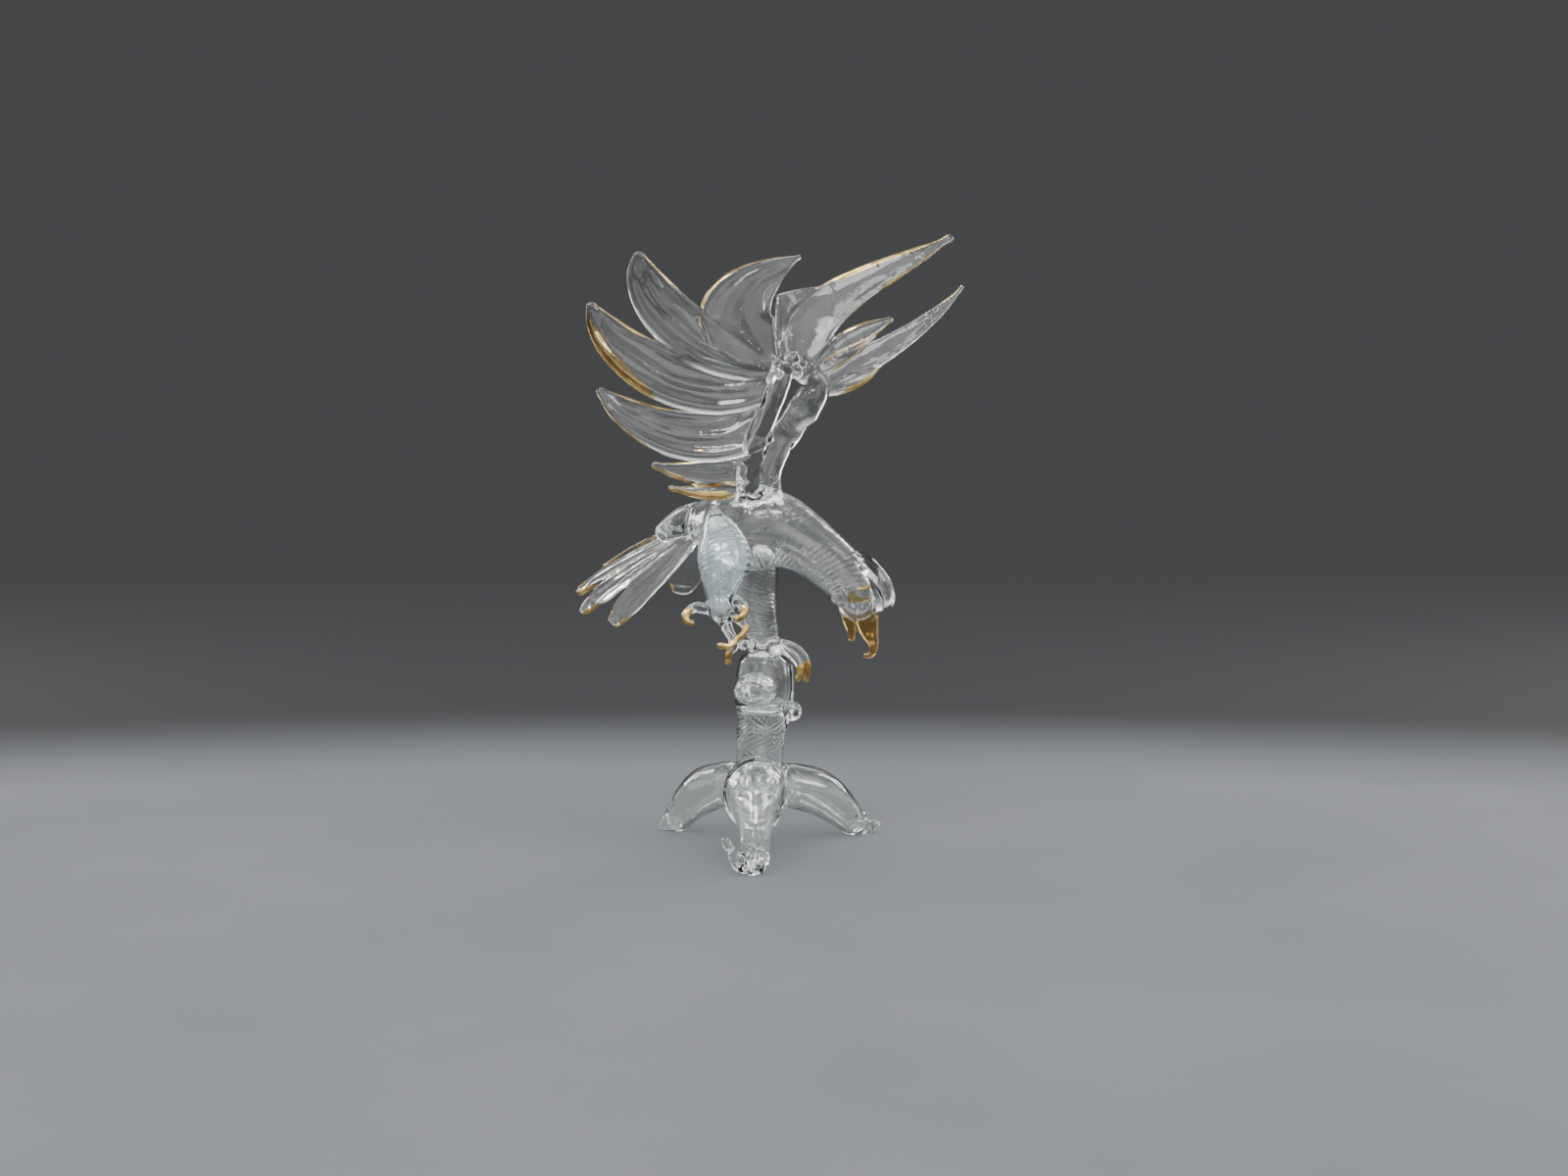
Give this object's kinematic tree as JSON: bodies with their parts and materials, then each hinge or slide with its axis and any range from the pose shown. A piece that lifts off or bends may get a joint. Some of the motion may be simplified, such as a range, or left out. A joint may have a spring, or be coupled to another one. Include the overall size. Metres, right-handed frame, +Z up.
{
  "type": "blown glass eagle figurine",
  "caption": "Clear blown glass eagle with raised wings and gold trim, landing on a glass branch that stands on three splayed roots.",
  "frame": {"origin": "middle of the bounding box in plan, on the plane of the three root soles", "axes": "+Z up; +X the way the beak points; -Y the side on which the lifted leg and the front root are"},
  "size_m": [0.1326, 0.0938, 0.2017],
  "materials": {
    "eagle_glass": "clear fire-polished glass with bright gold lustre on the claws, beak and feather edges",
    "branch_glass": "clear fire-polished glass with a faint grey-green tint and pressed hatching"
  },
  "bodies": {
    "root": {"eagle": "eagle_glass", "branch_stand": "branch_glass"}
  },
  "joints": []
}
